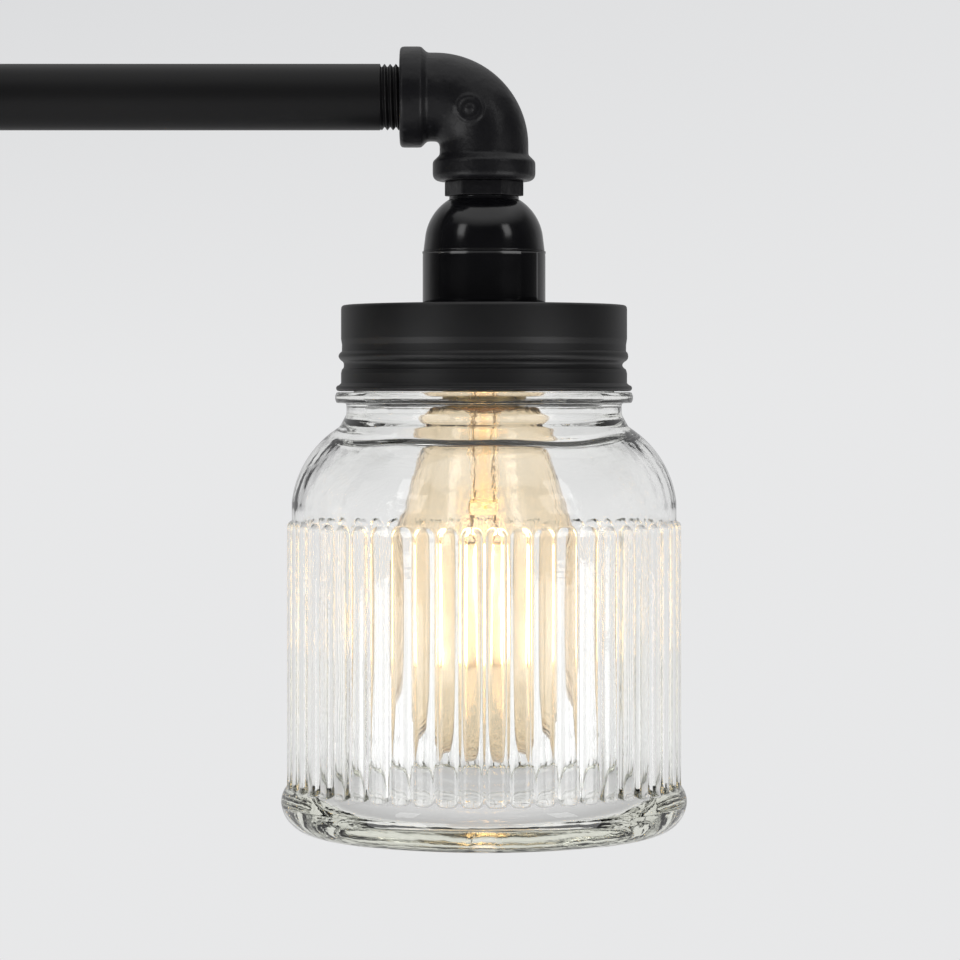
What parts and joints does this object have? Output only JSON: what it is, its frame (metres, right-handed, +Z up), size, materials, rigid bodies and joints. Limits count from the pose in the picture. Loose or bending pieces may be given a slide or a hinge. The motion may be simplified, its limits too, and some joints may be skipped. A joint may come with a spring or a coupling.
{
  "type": "ceiling bar light",
  "caption": "Pipe ceiling bar light: round rose, drop pipe and tee, with an arm and elbow each way that hold a screw lid, a ribbed glass jar shade and a long filament bulb.",
  "frame": {"origin": "centre of the ceiling bracket's upper face, which lies on the ceiling", "axes": "+Z up into the ceiling, +X along the bar towards the right lamp, -Y to the front"},
  "size_m": [0.69, 0.13, 0.4002],
  "materials": {
    "black_pipe": "satin black coat on steel pipe",
    "black_casting": "satin black coat on a fine cast skin",
    "black_paint": "satin black powder coat",
    "black_lid": "matt black coat on pressed steel",
    "black_bakelite": "glossy black moulding",
    "zinc_steel": "zinc plated",
    "brass": "stamped, slightly dull",
    "solder": "tinned button",
    "white_nylon": "moulded",
    "ceramic": "unglazed steatite",
    "lead_sheath": "soft extruded sheath",
    "silicone": "clear white silicone",
    "jar_glass": "clear pressed soda glass",
    "bulb_glass": "amber tinted blown glass",
    "stem_glass": "clear drawn glass",
    "nickel_wire": "drawn",
    "filament": "yellow phosphor coat on the lit sticks"
  },
  "bodies": {
    "root": {"ceiling_bracket": "zinc_steel", "ceiling_rose": "black_paint", "rose_screws": "zinc_steel", "earth_screw": "brass", "terminal_block": "white_nylon", "clamp_screws": "zinc_steel", "drop_pipe": "black_pipe", "rose_nut": "zinc_steel", "rose_collar": "black_paint", "tee": "black_casting", "arm_pipe_right": "black_pipe", "elbow_right": "black_casting", "hex_bushing_right": "black_paint", "holder_cap_right": "black_bakelite", "holder_skirt_right": "black_bakelite", "holder_insert_right": "ceramic", "terminal_screws_right": "brass", "socket_shell_right": "brass", "centre_contact_right": "brass", "lid_ring_right": "black_bakelite", "jar_lid_right": "black_lid", "lamp_lead_right": "lead_sheath", "arm_pipe_left": "black_pipe", "elbow_left": "black_casting", "hex_bushing_left": "black_paint", "holder_cap_left": "black_bakelite", "holder_skirt_left": "black_bakelite", "holder_insert_left": "ceramic", "terminal_screws_left": "brass", "socket_shell_left": "brass", "centre_contact_left": "brass", "lid_ring_left": "black_bakelite", "jar_lid_left": "black_lid", "lamp_lead_left": "lead_sheath"},
    "seal_right": {"jar_seal_right": "silicone"},
    "jar_right": {"jar_right": "jar_glass"},
    "contact_right": {"bulb_contact_right": "solder"},
    "bulb_right": {"bulb_cap_right": "brass", "bulb_envelope_right": "bulb_glass", "bulb_stem_right": "stem_glass", "bulb_leads_right": "nickel_wire", "bulb_filaments_right": "filament"},
    "seal_left": {"jar_seal_left": "silicone"},
    "jar_left": {"jar_left": "jar_glass"},
    "contact_left": {"bulb_contact_left": "solder"},
    "bulb_left": {"bulb_cap_left": "brass", "bulb_envelope_left": "bulb_glass", "bulb_stem_left": "stem_glass", "bulb_leads_left": "nickel_wire", "bulb_filaments_left": "filament"}
  },
  "joints": [
    {"name": "jar_lower_right", "type": "slide", "parent": "root", "child": "seal_right", "axis": [0, 0, -1], "range_m": [0, 0.0096]},
    {"name": "jar_unscrew_right", "type": "hinge", "parent": "seal_right", "child": "jar_right", "pos_m": [0.28, 0, -0.2594], "axis": [0, 0, -1], "range_deg": [0, 540]},
    {"name": "bulb_lower_right", "type": "slide", "parent": "root", "child": "contact_right", "axis": [0, 0, -1], "range_m": [0, 0.0109]},
    {"name": "bulb_unscrew_right", "type": "hinge", "parent": "contact_right", "child": "bulb_right", "pos_m": [0.28, 0, -0.2594], "axis": [0, 0, -1], "range_deg": [0, 1080]},
    {"name": "jar_lower_left", "type": "slide", "parent": "root", "child": "seal_left", "axis": [0, 0, -1], "range_m": [0, 0.0096]},
    {"name": "jar_unscrew_left", "type": "hinge", "parent": "seal_left", "child": "jar_left", "pos_m": [-0.28, 0, -0.2594], "axis": [0, 0, -1], "range_deg": [0, 540]},
    {"name": "bulb_lower_left", "type": "slide", "parent": "root", "child": "contact_left", "axis": [0, 0, -1], "range_m": [0, 0.0109]},
    {"name": "bulb_unscrew_left", "type": "hinge", "parent": "contact_left", "child": "bulb_left", "pos_m": [-0.28, 0, -0.2594], "axis": [0, 0, -1], "range_deg": [0, 1080]}
  ],
  "couplings": [
    {"joint": "jar_lower_right", "follows": "jar_unscrew_right", "m_per_rad": 0.0010106},
    {"joint": "bulb_lower_right", "follows": "bulb_unscrew_right", "m_per_rad": 0.00057773},
    {"joint": "jar_lower_left", "follows": "jar_unscrew_left", "m_per_rad": 0.0010106},
    {"joint": "bulb_lower_left", "follows": "bulb_unscrew_left", "m_per_rad": 0.00057773}
  ]
}
